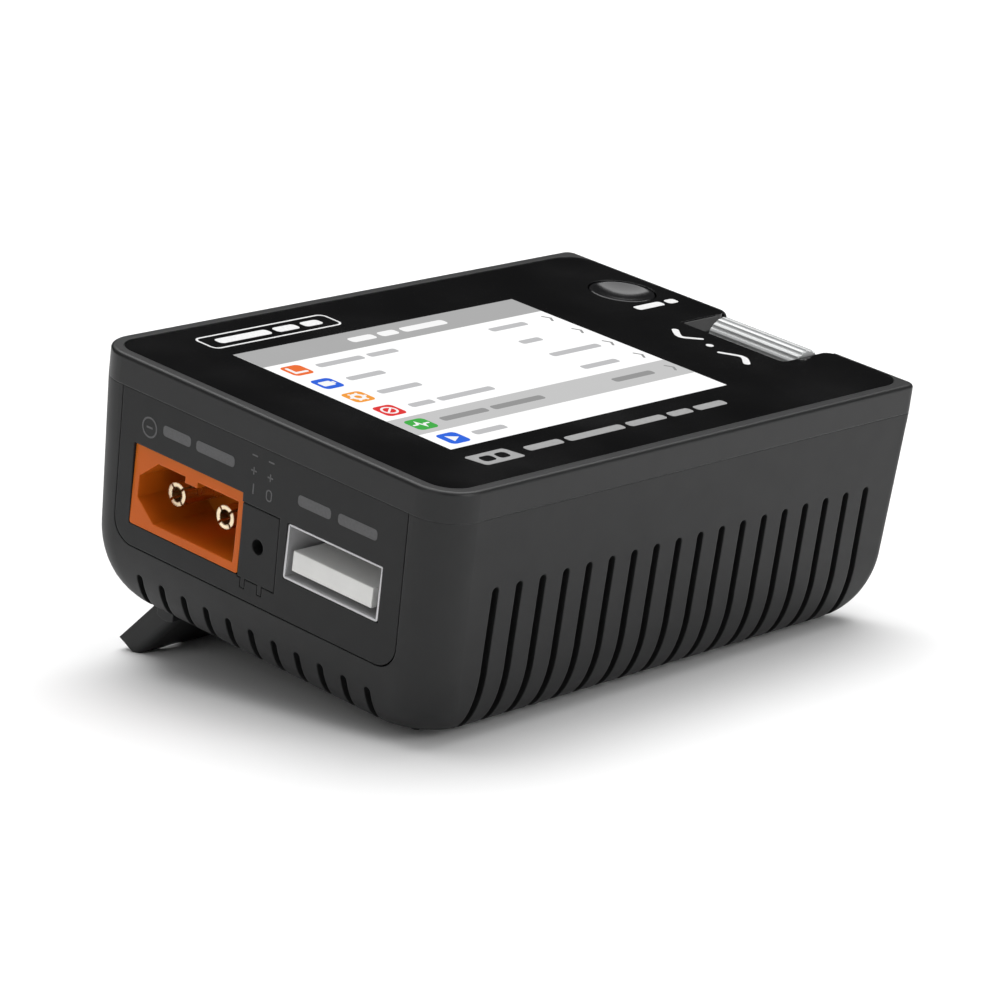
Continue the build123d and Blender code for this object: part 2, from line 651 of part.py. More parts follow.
def panel_blank(side):
    """The piece of end wall that a connector panel fills, with a foot behind the case wall."""
    with BuildPart() as blank:
        add(case_solid())
        add(case_solid(WALL), mode=Mode.SUBTRACT)
        with BuildSketch(end_plane(side, LENGTH / 2 - 3.2)) as outline:
            with Locations((0, (PANEL_BOTTOM + SEAM_Z) / 2)):
                Rectangle(2 * PANEL_HALF_WIDTH, SEAM_Z - PANEL_BOTTOM)
            fillet(outline.vertices().group_by(Axis.Y)[0], PANEL_CORNER)
        extrude(amount=5, mode=Mode.INTERSECT)
        with BuildSketch(Plane.XZ.offset(-PANEL_FOOT)) as foot:
            with BuildLine():
                Polyline(
                    (side * 34.2, 7.6),
                    (side * 33.55, 7.6),
                    (side * 33.55, 6.0),
                    (side * 32.5, 6.0),
                    (side * 32.5, 9.2),
                    (side * 34.2, 9.2),
                    close=True,
                )
            make_face()
        extrude(amount=2 * PANEL_FOOT)
    return blank.part


with BuildPart() as input_panel:
    add(panel_blank(-1))
    with BuildSketch(end_plane(-1, LENGTH / 2 - 3.2)):
        port_opening(POWER_SIZE, POWER_CENTRE, 0.05)
        port_opening(USB_SIZE, USB_CENTRE, 0.05)
        port_opening((PLUG_SIZE[0], PLUG_SIZE[1]), PLUG_CENTRE, PLUG_GAP)
        with Locations((-1.2, 8.9), (1.25, 8.9)):
            Rectangle(0.75, 1.25)
    extrude(amount=5, mode=Mode.SUBTRACT)
input_panel.part.label = "input_panel"

with BuildPart() as output_panel:
    add(panel_blank(1))
    with BuildSketch(end_plane(1, LENGTH / 2 - 3.2)):
        with Locations(POWER_CENTRE):
            Rectangle(POWER_SIZE[0] + 0.6, POWER_SIZE[1] + 0.6)
        with Locations(BALANCE_CENTRE):
            Rectangle(BALANCE_SIZE[0] + 0.1, BALANCE_SIZE[1] + 0.1)
    extrude(amount=5, mode=Mode.SUBTRACT)
    box_between((33, NOTCH_FRONT, RELIEF_FLOOR), (RELIEF_X, NOTCH_BACK, SEAM_Z + 1), mode=Mode.SUBTRACT)
output_panel.part.label = "output_panel"

# ------------------------------------------------------------------ power input (two pins)
CAVITY_SIZE = (14.5, 6.5)
CAVITY_DEPTH = 8.5
POWER_DEPTH = 16.0
PIN_POSITIONS = [(POWER_CENTRE[0] + k * POWER_PITCH / 2, POWER_CENTRE[1] - 0.2) for k in (-1, 1)]

with BuildPart() as power_input_housing:
    input_face = Plane(origin=(-CONNECTOR_FACE, 0, 0), x_dir=(0, 1, 0), z_dir=(1, 0, 0))
    with BuildSketch(input_face):
        with Locations(POWER_CENTRE):
            RectangleRounded(*POWER_SIZE, 0.3)
    extrude(amount=POWER_DEPTH)
    with BuildSketch(input_face):
        with Locations((POWER_CENTRE[0] - 0.05, POWER_CENTRE[1] - 0.15)):
            add(keyed_outline(*CAVITY_SIZE, 2.6, 2.1))
    extrude(amount=CAVITY_DEPTH, mode=Mode.SUBTRACT)
    # Key rib in the middle of the cavity's roof.
    box_between((-CONNECTOR_FACE, 8.9, 16.3), (-CONNECTOR_FACE + CAVITY_DEPTH, 10.7, 17.1))
    with BuildSketch(input_face):
        with Locations(*PIN_POSITIONS):
            Circle(POWER_PIN_RADIUS)
    extrude(amount=POWER_DEPTH, mode=Mode.SUBTRACT)
power_input_housing.part.label = "power_input_housing"

with BuildPart() as power_input_pins:
    with BuildSketch(input_face.offset(2.0)):
        with Locations(*PIN_POSITIONS):
            Circle(POWER_PIN_RADIUS)
    extrude(amount=POWER_DEPTH)
    # Hollow split tips.
    with BuildSketch(input_face.offset(2.0)):
        with Locations(*PIN_POSITIONS):
            Circle(PIN_HOLE_RADIUS)
            Rectangle(2 * POWER_PIN_RADIUS + 1, PIN_SLIT, rotation=45)
            Rectangle(2 * POWER_PIN_RADIUS + 1, PIN_SLIT, rotation=-45)
    extrude(amount=4.5, mode=Mode.SUBTRACT)
    # Flat tails bent down to the board.
    for y, z in PIN_POSITIONS:
        tail_x = -CONNECTOR_FACE + POWER_DEPTH + 0.8
        box_between((tail_x, y - 0.9, BOARD_TOP), (tail_x + 1.2, y + 0.9, z))
power_input_pins.part.label = "power_input_pins"

# ------------------------------------------------------------------ power output (two sockets)
with BuildPart() as power_output_housing:
    output_face = end_plane(1, CONNECTOR_FACE)
    with BuildSketch(output_face.offset(-POWER_DEPTH)):
        with Locations(POWER_CENTRE):
            Rectangle(*POWER_SIZE)
    extrude(amount=POWER_DEPTH - CAVITY_DEPTH)
    with BuildSketch(output_face.offset(-CAVITY_DEPTH)):
        with Locations(POWER_CENTRE):
            add(keyed_outline(CAVITY_SIZE[0] - 0.3, CAVITY_SIZE[1] - 0.3, 2.6, 2.1))
    extrude(amount=CAVITY_DEPTH)
    with BuildSketch(output_face):
        with Locations(*PIN_POSITIONS):
            Circle(2.1)
    extrude(amount=-POWER_DEPTH, mode=Mode.SUBTRACT)
power_output_housing.part.label = "power_output_housing"

with BuildPart() as power_output_sockets:
    with BuildSketch(output_face.offset(-1.2)):
        with Locations(*PIN_POSITIONS):
            Circle(2.1)
    extrude(amount=-POWER_DEPTH)
    with BuildSketch(output_face.offset(-1.2)):
        with Locations(*PIN_POSITIONS):
            Circle(1.5)
    extrude(amount=-8.0, mode=Mode.SUBTRACT)
    for y, z in PIN_POSITIONS:
        tail_x = CONNECTOR_FACE - POWER_DEPTH - 0.8
        box_between((tail_x - 1.2, y - 0.9, BOARD_TOP), (tail_x, y + 0.9, z))
power_output_sockets.part.label = "power_output_sockets"

# ------------------------------------------------------------------ USB socket
USB_SHEET = 0.22
USB_DEPTH = 14.0
USB_FACE = -LENGTH / 2 + 0.35
USB_LOW = (USB_CENTRE[0] - USB_SIZE[0] / 2, USB_CENTRE[1] - USB_SIZE[1] / 2)
USB_HIGH = (USB_CENTRE[0] + USB_SIZE[0] / 2, USB_CENTRE[1] + USB_SIZE[1] / 2)
TONGUE_LOW = USB_LOW[1] + 1.0
TONGUE_HIGH = TONGUE_LOW + 2.08
TONGUE_Y = USB_CENTRE[0] + 0.17
TONGUE_HALF = 5.55

with BuildPart() as usb_shell:
    box_between((USB_FACE, *USB_LOW), (USB_FACE + USB_DEPTH, *USB_HIGH))
    fillet(usb_shell.edges().filter_by(Axis.X), 0.3)
    box_between(
        (USB_FACE, USB_LOW[0] + USB_SHEET, USB_LOW[1] + USB_SHEET),
        (USB_FACE + USB_DEPTH - USB_SHEET, USB_HIGH[0] - USB_SHEET, USB_HIGH[1] - USB_SHEET),
        mode=Mode.SUBTRACT,
    )
    # Two legs stand the shell on the board.
    for y in (USB_LOW[0] + 0.5, USB_HIGH[0] - 1.5):
        box_between((USB_FACE + 6, y, BOARD_TOP), (USB_FACE + 9, y + 1.0, USB_LOW[1] + 0.1))
usb_shell.part.label = "usb_shell"

with BuildPart() as usb_tongue:
    box_between(
        (USB_FACE + 10.5, USB_LOW[0] + USB_SHEET, USB_LOW[1] + USB_SHEET),
        (USB_FACE + USB_DEPTH - USB_SHEET, USB_HIGH[0] - USB_SHEET, USB_HIGH[1] - USB_SHEET),
    )
    box_between(
        (USB_FACE + 0.25, TONGUE_Y - TONGUE_HALF, TONGUE_LOW),
        (USB_FACE + 10.6, TONGUE_Y + TONGUE_HALF, TONGUE_HIGH),
    )
usb_tongue.part.label = "usb_tongue"

with BuildPart() as usb_contacts:
    with BuildSketch(Plane.XY.offset(TONGUE_HIGH)):
        with Locations((USB_FACE + 7.8, TONGUE_Y)):
            with GridLocations(1, 2.3, 1, 4):
                Rectangle(5.2, 1.0)
    extrude(amount=0.15)
usb_contacts.part.label = "usb_contacts"

# ------------------------------------------------------------------ signal port and its plug
PLUG_REAR = -27.2
SIGNAL_PINS = [(PLUG_CENTRE[0] + 1.27 * i, PLUG_CENTRE[1] + 2.54 * k) for i in (-1, 1) for k in (-1, 0, 1)]

with BuildPart() as signal_plug:
    with BuildSketch(Plane.YZ.offset(-LENGTH / 2 - 1)):
        with Locations(PLUG_CENTRE):
            Rectangle(*PLUG_SIZE)
    extrude(amount=PLUG_REAR + LENGTH / 2 + 1)
    with BuildSketch(Plane.YZ.offset(-LENGTH / 2 - 1)):
        with Locations((1.2, 8.9), (-1.25, 8.9)):
            Rectangle(0.55, 1.1)
    extrude(amount=2.2)
    add(case_solid(), mode=Mode.INTERSECT)
    # Hollow back that slips over the pins, and a hole to pull the plug out by.
    with BuildSketch(Plane.YZ.offset(PLUG_REAR)):
        with Locations(PLUG_CENTRE):
            Rectangle(PLUG_SIZE[0] - 1.4, PLUG_SIZE[1] - 1.4)
    extrude(amount=-5.8, mode=Mode.SUBTRACT)
    with BuildSketch(Plane.YZ.offset(-LENGTH / 2 - 1)):
        with Locations((PLUG_CENTRE[0] + 0.1, PLUG_CENTRE[1])):
            Circle(0.8)
    extrude(amount=2.8, mode=Mode.SUBTRACT)
signal_plug.part.label = "signal_plug"

with BuildPart() as signal_header:
    box_between((-27.0, -3.2, BOARD_TOP), (-24.6, 1.9, 17.1))
signal_header.part.label = "signal_header"

with BuildPart() as signal_pins:
    with BuildSketch(Plane.YZ.offset(-32.8)):
        with Locations(*SIGNAL_PINS):
            Rectangle(0.64, 0.64)
    extrude(amount=5.8)
signal_pins.part.label = "signal_pins"

# ------------------------------------------------------------------ balance socket
BALANCE_DEPTH = 9.8
BALANCE_WALL = 0.9
BALANCE_FACE = LENGTH / 2 - 0.55

with BuildPart() as balance_socket:
    with BuildSketch(Plane.YZ.offset(BALANCE_FACE)):
        with Locations(BALANCE_CENTRE):
            Rectangle(*BALANCE_SIZE)
    extrude(amount=-BALANCE_DEPTH)
    with BuildSketch(Plane.YZ.offset(BALANCE_FACE)):
        with Locations(BALANCE_CENTRE):
            Rectangle(BALANCE_SIZE[0] - 2 * BALANCE_WALL, BALANCE_SIZE[1] - 2 * BALANCE_WALL)
        with Locations((BALANCE_CENTRE[0], BALANCE_CENTRE[1] + BALANCE_SIZE[1] / 2)):
            with GridLocations(12.5, 1, 2, 1):
                Rectangle(1.4, 2.4)
    extrude(amount=-7.4, mode=Mode.SUBTRACT)
    with BuildSketch(Plane.YZ.offset(BALANCE_FACE)):
        with Locations(BALANCE_CENTRE):
            with GridLocations(BALANCE_PITCH, 1, BALANCE_PINS, 1):
                Rectangle(0.64, 0.64)
    extrude(amount=-BALANCE_DEPTH, mode=Mode.SUBTRACT)
balance_socket.part.label = "balance_socket"

with BuildPart() as balance_pins:
    with BuildSketch(Plane.YZ.offset(BALANCE_FACE - 1.8)):
        with Locations(BALANCE_CENTRE):
            with GridLocations(BALANCE_PITCH, 1, BALANCE_PINS, 1):
                Rectangle(0.64, 0.64)
    extrude(amount=-BALANCE_DEPTH)
    with BuildSketch(Plane.XY.offset(BOARD_TOP)):
        with Locations((BALANCE_FACE - 1.8 - BALANCE_DEPTH + 0.32, BALANCE_CENTRE[0])):
            with GridLocations(1, BALANCE_PITCH, 1, BALANCE_PINS):
                Rectangle(0.64, 0.64)
    extrude(amount=BALANCE_CENTRE[1] - BOARD_TOP)
balance_pins.part.label = "balance_pins"

# ------------------------------------------------------------------ fan
fan_front = Plane(origin=(0, FAN_Y, FAN_Z), x_dir=(-1, 0, 0), z_dir=(0, 1, 0))
FAN_BASE = 1.0
BLADE_PITCH = 38.0
BLADE_CHORD = 3.6

with BuildPart() as fan_frame:
    with BuildSketch(fan_front) as frame_outline:
        RectangleRounded(FAN_SIZE, FAN_SIZE, 1.5)
        Circle(FAN_BORE, mode=Mode.SUBTRACT)
        with GridLocations(FAN_SIZE - 2.6, FAN_SIZE - 2.6, 2, 2):
            Circle(0.7, mode=Mode.SUBTRACT)
    extrude(amount=FAN_DEPTH)
    with BuildSketch(fan_front):
        Circle(FAN_HUB)
        with PolarLocations(0, 3):
            with Locations((FAN_BORE / 2, 0)):
                Rectangle(FAN_BORE + 0.4, 0.9)
    extrude(amount=FAN_BASE)
    with BuildSketch(fan_front.offset(FAN_BASE)):
        Circle(0.6)
    extrude(amount=2.6)
fan_frame.part.label = "fan_frame"

with BuildPart() as fan_rotor:
    with BuildSketch(fan_front.offset(FAN_BASE + 0.3)):
        Circle(FAN_HUB)
    extrude(amount=FAN_DEPTH - FAN_BASE - 0.6)
    for i in range(FAN_BLADES):
        around = radians(360 * i / FAN_BLADES)
        pitch = radians(BLADE_PITCH)
        outward = Vector(cos(around), 0, sin(around))
        across = Vector(-sin(around), 0, cos(around)) * cos(pitch) + Vector(0, sin(pitch), 0)
        centre = Vector(0, FAN_Y + FAN_BASE + 2.1, FAN_Z) + outward * (FAN_HUB - 0.8)
        with BuildSketch(Plane(origin=centre, x_dir=across, z_dir=outward)):
            Rectangle(BLADE_CHORD, 0.45)
        extrude(amount=FAN_BORE - FAN_HUB + 0.4)
    with BuildSketch(fan_front.offset(FAN_BASE + 0.3)):
        Circle(0.6 + RUNNING_GAP)
    extrude(amount=2.6, mode=Mode.SUBTRACT)
fan_rotor.part.label = "fan_rotor"

# ------------------------------------------------------------------ kickstand, feet and screws
foot_level = level(FOOT_FRONT_Y + FOOT_ROUND, -FOOT_HEIGHT + FOOT_ROUND) - FOOT_ROUND
along_level = level(cos(radians(LEG_ANGLE)), -sin(radians(LEG_ANGLE)))
across_level = level(sin(radians(LEG_ANGLE)), cos(radians(LEG_ANGLE)))
tip_offset = LEG_TIP_ROUND - LEG_THICKNESS / 2
hinge_level = level(HINGE_Y, HINGE_Z)
# Distance from the hinge to the centre of the tip's round that puts the tip level with the feet.
tip_reach = (foot_level + LEG_TIP_ROUND - hinge_level - tip_offset * across_level) / along_level
slant = tan(radians(LEG_END_SLANT))
corner_run = LEG_TIP_ROUND * tan(radians(45 - LEG_END_SLANT / 2))
leg_low_end = tip_reach + corner_run
leg_high_end = leg_low_end + LEG_THICKNESS * slant

with BuildPart() as stand_leg:
    with BuildSketch(leg_plane.offset(-LEG_LENGTH / 2)) as leg_profile:
        with BuildLine():
            Polyline(
                (0, -LEG_THICKNESS / 2),
                (leg_low_end, -LEG_THICKNESS / 2),
                (leg_high_end, LEG_THICKNESS / 2),
                (0, LEG_THICKNESS / 2),
                close=True,
            )
        make_face()
        Circle(LEG_THICKNESS / 2)
    extrude(amount=LEG_LENGTH)
    tip_corner = stand_leg.edges().filter_by(Axis.X).sort_by(Axis.Z)[0]
    fillet(tip_corner, LEG_TIP_ROUND)
    # The side that faces forward when the leg is open is rounded towards both ends.
    with BuildSketch(Plane(origin=leg_plane.origin, x_dir=(1, 0, 0), z_dir=leg_plane.x_dir)) as across:
        Rectangle(LEG_LENGTH, LEG_THICKNESS)
        fillet(across.vertices().group_by(Axis.Y)[-1], LEG_SIDE_ROUND)
    extrude(amount=leg_high_end + 1, both=True, mode=Mode.INTERSECT)
    # Finger notch in the middle of the tip, and a small scallop near each end.
    with BuildSketch(Plane(origin=leg_plane.origin, x_dir=(1, 0, 0), z_dir=leg_plane.y_dir)):
        with Locations((0, leg_high_end)):
            SlotOverall(14, 4)
        with Locations((-SCALLOP_X, leg_high_end), (SCALLOP_X, leg_high_end)):
            SlotOverall(4.4, 4.2)
    extrude(amount=LEG_THICKNESS, both=True, mode=Mode.SUBTRACT)
    with BuildSketch(leg_plane.offset(-LEG_LENGTH / 2)):
        Circle(HINGE_RADIUS + RUNNING_GAP)
    extrude(amount=LEG_LENGTH, mode=Mode.SUBTRACT)
stand_leg.part.label = "stand_leg"

with BuildPart() as stand_pins:
    for side in (-1, 1):
        with BuildSketch(end_plane(side, LEG_LENGTH / 2 - 5.0)):
            with Locations((side * HINGE_Y, HINGE_Z)):
                Circle(HINGE_RADIUS)
        extrude(amount=5.0 + STAND_GAP + 1.6)
stand_pins.part.label = "stand_pins"

with BuildPart() as rubber_feet:
    for y_low, y_high in ((FOOT_FRONT_Y, FOOT_FRONT_Y + 3.0), (19.65, 21.1)):
        for x in (-25.0, 25.0):
            box_between((x - 4.5, y_low, -FOOT_HEIGHT), (x + 4.5, y_high, 0))
    fillet(rubber_feet.edges().filter_by(Axis.Z), 0.6)
    fillet(rubber_feet.edges().group_by(Axis.Z)[0], FOOT_ROUND)
rubber_feet.part.label = "rubber_feet"

with BuildPart() as case_screws:
    with BuildSketch(Plane.XY.offset(0.2)):
        with Locations(*CASE_SCREWS):
            Circle(1.7)
    extrude(amount=1.0)
    with BuildSketch(Plane.XY.offset(0.2)):
        with Locations(*CASE_SCREWS):
            Rectangle(2.0, 0.45)
            Rectangle(0.45, 2.0)
    extrude(amount=0.6, mode=Mode.SUBTRACT)
    with BuildSketch(Plane.XY.offset(1.2)):
        with Locations(*CASE_SCREWS):
            Circle(CASE_SCREW_RADIUS)
    extrude(amount=13.0)
case_screws.part.label = "case_screws"

with BuildPart() as board_screws:
    with BuildSketch(Plane.XY.offset(BOARD_TOP)):
        with Locations(*BOARD_SCREWS):
            Circle(1.6)
    extrude(amount=1.1)
    with BuildSketch(Plane.XY.offset(BOARD_TOP + 0.6)):
        with Locations(*BOARD_SCREWS):
            Rectangle(1.8, 0.4)
            Rectangle(0.4, 1.8)
    extrude(amount=1, mode=Mode.SUBTRACT)
    with BuildSketch(Plane.XY.offset(BOARD_Z - 3.6)):
        with Locations(*BOARD_SCREWS):
            Circle(BOARD_SCREW_RADIUS)
    extrude(amount=BOARD_TOP - BOARD_Z + 3.6)
board_screws.part.label = "board_screws"

# ------------------------------------------------------------------ lean the charger onto its leg
pieces = [
    lower_shell, upper_shell, top_plate, display_glass, display_gasket, display_module, ui_board,
    controller_chip, board_header, board_socket, exit_button, exit_plunger, exit_switch, roller,
    roller_axle, roller_carriage, roller_switch, roller_base, main_board, inductors, capacitors,
    mosfets, thermal_pad, heatsink, shunt_resistors, buzzer, input_panel, output_panel,
    power_input_housing, power_input_pins, power_output_housing, power_output_sockets, usb_shell,
    usb_tongue, usb_contacts, signal_plug, signal_header, signal_pins, balance_socket, balance_pins,
    fan_frame, fan_rotor, stand_leg, stand_pins, rubber_feet, case_screws, board_screws,
]
leaned = Compound([piece.part.moved(Location((0, 0, 0), (REST_TILT, 0, 0))) for piece in pieces])
spread = leaned.bounding_box()
to_rest = Location(
    (-spread.center().X, -spread.center().Y, -spread.min.Z),
    (REST_TILT, 0, 0),
)

os.makedirs("parts", exist_ok=True)
for piece in pieces:
    label = piece.part.label
    piece.part = piece.part.moved(to_rest)
    piece.part.label = label
    export_step(piece.part, f"parts/{label}.step")
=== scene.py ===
"""Looks of the pocket balance charger: materials, screen picture, printed marks, lights and camera.

Marks and small extra pieces are drawn in the case's own frame, in millimetres: X to the output
end, Y to the back, Z up out of the cover, with the origin in the middle of the flat underside.
"""

import math

import bmesh
import bpy
from mathutils import Matrix, Vector


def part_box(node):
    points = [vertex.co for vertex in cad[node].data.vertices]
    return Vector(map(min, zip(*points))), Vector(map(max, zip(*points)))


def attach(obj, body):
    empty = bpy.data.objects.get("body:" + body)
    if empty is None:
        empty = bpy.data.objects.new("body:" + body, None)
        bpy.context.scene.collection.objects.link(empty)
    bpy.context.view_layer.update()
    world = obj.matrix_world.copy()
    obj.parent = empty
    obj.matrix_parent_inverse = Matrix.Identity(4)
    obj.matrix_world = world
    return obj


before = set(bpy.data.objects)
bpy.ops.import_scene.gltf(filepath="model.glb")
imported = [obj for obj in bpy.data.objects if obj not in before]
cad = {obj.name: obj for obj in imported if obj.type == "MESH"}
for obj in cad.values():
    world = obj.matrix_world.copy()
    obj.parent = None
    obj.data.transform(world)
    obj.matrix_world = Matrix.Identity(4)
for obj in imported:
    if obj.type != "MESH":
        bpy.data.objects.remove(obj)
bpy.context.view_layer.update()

# ------------------------------------------------------------------ the case's own frame
MM = 0.001
LEAN = math.radians(9.5)
GLASS_CENTRE = Vector((-4.74, 0.15, 26.4))
COVER_Z = 26.8
SEAM_Z = 23.75
END_X = 36.0
END_DRAFT = math.tan(math.radians(1.9))

lean = Matrix.Rotation(LEAN, 4, "X") @ Matrix.Scale(MM, 4)
glass_low, glass_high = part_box("display_glass")
glass_middle = (Vector(glass_low) + Vector(glass_high)) / 2
CASE = Matrix.Translation(glass_middle - lean @ GLASS_CENTRE) @ lean

# How far corners look rounded and get paler, as rubbed edges and as a painted highlight, on moulded
# pieces and on metal and polished ones.
MOULDED_EDGE_MM = 0.2
HARD_EDGE_MM = 0.12


# ------------------------------------------------------------------ materials
def add(tree, kind, inputs=(), **settings):
    """A shader node with its settings, and its inputs set to values or linked to sockets."""
    made = tree.nodes.new(kind)
    for key, value in settings.items():
        setattr(made, key, value)
    for key, value in dict(inputs).items():
        if isinstance(value, bpy.types.NodeSocket):
            tree.links.new(value, made.inputs[key])
        else:
            made.inputs[key].default_value = value
    return made


def principled(name):
    """A new material with its node tree and its Principled shader."""
    material = bpy.data.materials.new(name)
    material.use_nodes = True
    tree = material.node_tree
    return material, tree, tree.nodes["Principled BSDF"]


def object_place(tree):
    """Position on the object, in metres."""
    return add(tree, "ShaderNodeTexCoord").outputs["Object"]


def noise(tree, place, size_mm, detail=2.0):
    """Noise whose blobs are about this size."""
    inputs = {"Vector": place, "Scale": 1 / (size_mm * MM), "Detail": detail}
    return add(tree, "ShaderNodeTexNoise", inputs).outputs["Fac"]


def remap(tree, value, low, high, to_low, to_high):
    """A value moved from one range to another, clamped."""
    inputs = {0: value, 1: low, 2: high, 3: to_low, 4: to_high}
    return add(tree, "ShaderNodeMapRange", inputs).outputs[0]


def maths(tree, operation, first, second):
    """One arithmetic operation on two values."""
    return add(tree, "ShaderNodeMath", {0: first, 1: second}, operation=operation).outputs[0]


def mixed(tree, factor, first, second, blend="MIX"):
    """Two colours mixed."""
    inputs = {0: factor, 6: first, 7: second}
    return add(tree, "ShaderNodeMix", inputs, data_type="RGBA", blend_type=blend).outputs[2]


def edge_mask(tree, radius_mm, place):
    """1 on corners, where paler colour stands for rubbed edges and a painted highlight, and 0 on flat
    faces, broken up by noise.
    """
    rounded = add(tree, "ShaderNodeBevel", {"Radius": radius_mm * MM}, samples=6).outputs[0]
    flat = add(tree, "ShaderNodeNewGeometry").outputs["Normal"]
    alike = add(tree, "ShaderNodeVectorMath", {0: rounded, 1: flat}, operation="DOT_PRODUCT")
    corner = remap(tree, alike.outputs["Value"], 0.995, 0.85, 0.0, 1.0)
    patchy = remap(tree, noise(tree, place, 1.4, 4.0), 0.35, 0.65, 0.35, 1.0)
    return maths(tree, "MULTIPLY", corner, patchy), rounded


def tint(colour, factor):
    """A colour made lighter or darker."""
    return (colour[0] * factor, colour[1] * factor, colour[2] * factor, 1.0)


def painted_hollow_shade(tree, body, reach_mm, deep):
    """Painted shade: a colour that turns to the deep one inside hollows of about this size."""
    open_sky = add(tree, "ShaderNodeAmbientOcclusion", {"Distance": reach_mm * MM}, samples=8)
    return mixed(tree, open_sky.outputs["AO"], deep, body)


def relief(tree, main, height, depth_mm, normal=None):
    """Fine relief on the surface, from a height between 0 and 1."""
    inputs = {"Height": height, "Distance": depth_mm * MM, "Strength": 1.0}
    if normal is not None:
        inputs["Normal"] = normal
    tree.links.new(add(tree, "ShaderNodeBump", inputs).outputs[0], main.inputs["Normal"])


def finish(
    name, colour, roughness, metallic=0.0, specular=0.5,
    grain_mm=0.18, grain_depth_mm=0.004, mottle=0.12, mottle_mm=4.0,
    worn_and_lit_edge_factor=1.5, rough_spread=0.08, hollow_shade_mm=0.0, hollow_shade_colour=None,
):
    """A moulded, cast or plated finish: mottled colour, fine grain, softened corners painted paler
    (rubbed edges and a painted highlight), and painted shade in hollows where asked.
    """
    material, tree, main = principled(name)
    place = object_place(tree)
    worn_and_lit_edges, rounded = edge_mask(tree, MOULDED_EDGE_MM, place)
    blotch = remap(tree, noise(tree, place, mottle_mm, 3.0), 0.3, 0.7, 0.0, 1.0)
    body = mixed(tree, blotch, tint(colour, 1 - mottle), tint(colour, 1 + mottle))
    # Corners painted paler: partly rubbed edges, partly a painted highlight.
    body = mixed(tree, worn_and_lit_edges, body, tint(colour, worn_and_lit_edge_factor))
    # Painted shade: the colour darkens inside hollows, where shade falls.
    if hollow_shade_mm:
        body = painted_hollow_shade(tree, body, hollow_shade_mm, tint(hollow_shade_colour, 1.0))
    tree.links.new(body, main.inputs["Base Color"])
    smooth, dull = roughness - rough_spread, roughness + rough_spread
    rough = remap(tree, noise(tree, place, 2.5, 3.0), 0.3, 0.7, smooth, dull)
    tree.links.new(rough, main.inputs["Roughness"])
    relief(tree, main, noise(tree, place, grain_mm, 2.0), grain_depth_mm, rounded)
    main.inputs["Metallic"].default_value = metallic
    main.inputs["Specular IOR Level"].default_value = specular
    return material


def brushed(name, colour, roughness, metallic=1.0, stretch=(1, 30, 1), hollow_shade_mm=0.0):
    """Metal with fine lines drawn along one direction."""
    material, tree, main = principled(name)
    place = object_place(tree)
    worn_and_lit_edges, rounded = edge_mask(tree, HARD_EDGE_MM, place)
    scale = {"Vector": place, "Scale": tuple(1 / s for s in stretch)}
    lines = noise(tree, add(tree, "ShaderNodeMapping", scale).outputs[0], 0.06, 3.0)
    body = mixed(tree, lines, tint(colour, 0.85), tint(colour, 1.08))
    # Corners painted paler: partly rubbed edges, partly a painted highlight.
    body = mixed(tree, worn_and_lit_edges, body, tint(colour, 1.2))
    # Painted shade: the metal darkens inside hollows, where shade falls.
    if hollow_shade_mm:
        body = painted_hollow_shade(tree, body, hollow_shade_mm, tint(colour, 0.12))
    tree.links.new(body, main.inputs["Base Color"])
    rough = remap(tree, lines, 0.3, 0.7, roughness - 0.06, roughness + 0.1)
    tree.links.new(rough, main.inputs["Roughness"])
    relief(tree, main, lines, 0.002, rounded)
    main.inputs["Metallic"].default_value = metallic
    return material


def lit(name, colour, strength=1.0):
    """A picture colour that glows under a smooth glass."""
    material, tree, main = principled(name)
    place = object_place(tree)
    uneven = remap(tree, noise(tree, place, 25.0, 1.0), 0.2, 0.8, 0.97, 1.0)
    glow = mixed(tree, 1.0, (*colour, 1.0), uneven, blend="MULTIPLY")
    tree.links.new(glow, main.inputs["Emission Color"])
    main.inputs["Emission Strength"].default_value = strength
    main.inputs["Base Color"].default_value = (0.01, 0.01, 0.01, 1.0)
    smear = remap(tree, noise(tree, place, 9.0, 3.0), 0.35, 0.65, 0.07, 0.16)
    tree.links.new(smear, main.inputs["Roughness"])
    return material


def ink(name, colour):
    """Screen-printed ink, slightly uneven and matte."""
    material, tree, main = principled(name)
    place = object_place(tree)
    thin = remap(tree, noise(tree, place, 0.25, 3.0), 0.25, 0.6, 0.82, 1.0)
    body = mixed(tree, 1.0, (*colour, 1.0), thin, blend="MULTIPLY")
    tree.links.new(body, main.inputs["Base Color"])
    main.inputs["Roughness"].default_value = 0.55
    relief(tree, main, thin, 0.003)
    return material


def gloss_black(name, colour, roughness):
    """Polished black cover: deep gloss with faint wiping marks and dust."""
    material, tree, main = principled(name)
    place = object_place(tree)
    worn_and_lit_edges, rounded = edge_mask(tree, HARD_EDGE_MM, place)
    dust = remap(tree, noise(tree, place, 0.35, 4.0), 0.68, 0.78, 0.0, 0.25)
    body = mixed(tree, dust, (*colour, 1.0), tint(colour, 3.0))
    # Cover edges painted paler: a painted highlight along the polished edges, partly rubbed edges.
    body = mixed(tree, worn_and_lit_edges, body, tint(colour, 5.0))
    tree.links.new(body, main.inputs["Base Color"])
    smear = remap(tree, noise(tree, place, 14.0, 4.0), 0.3, 0.7, roughness - 0.04, roughness + 0.06)
    tree.links.new(smear, main.inputs["Roughness"])
    relief(tree, main, noise(tree, place, 12.0, 1.0), 0.01, rounded)
    main.inputs["Specular IOR Level"].default_value = 0.36
    return material


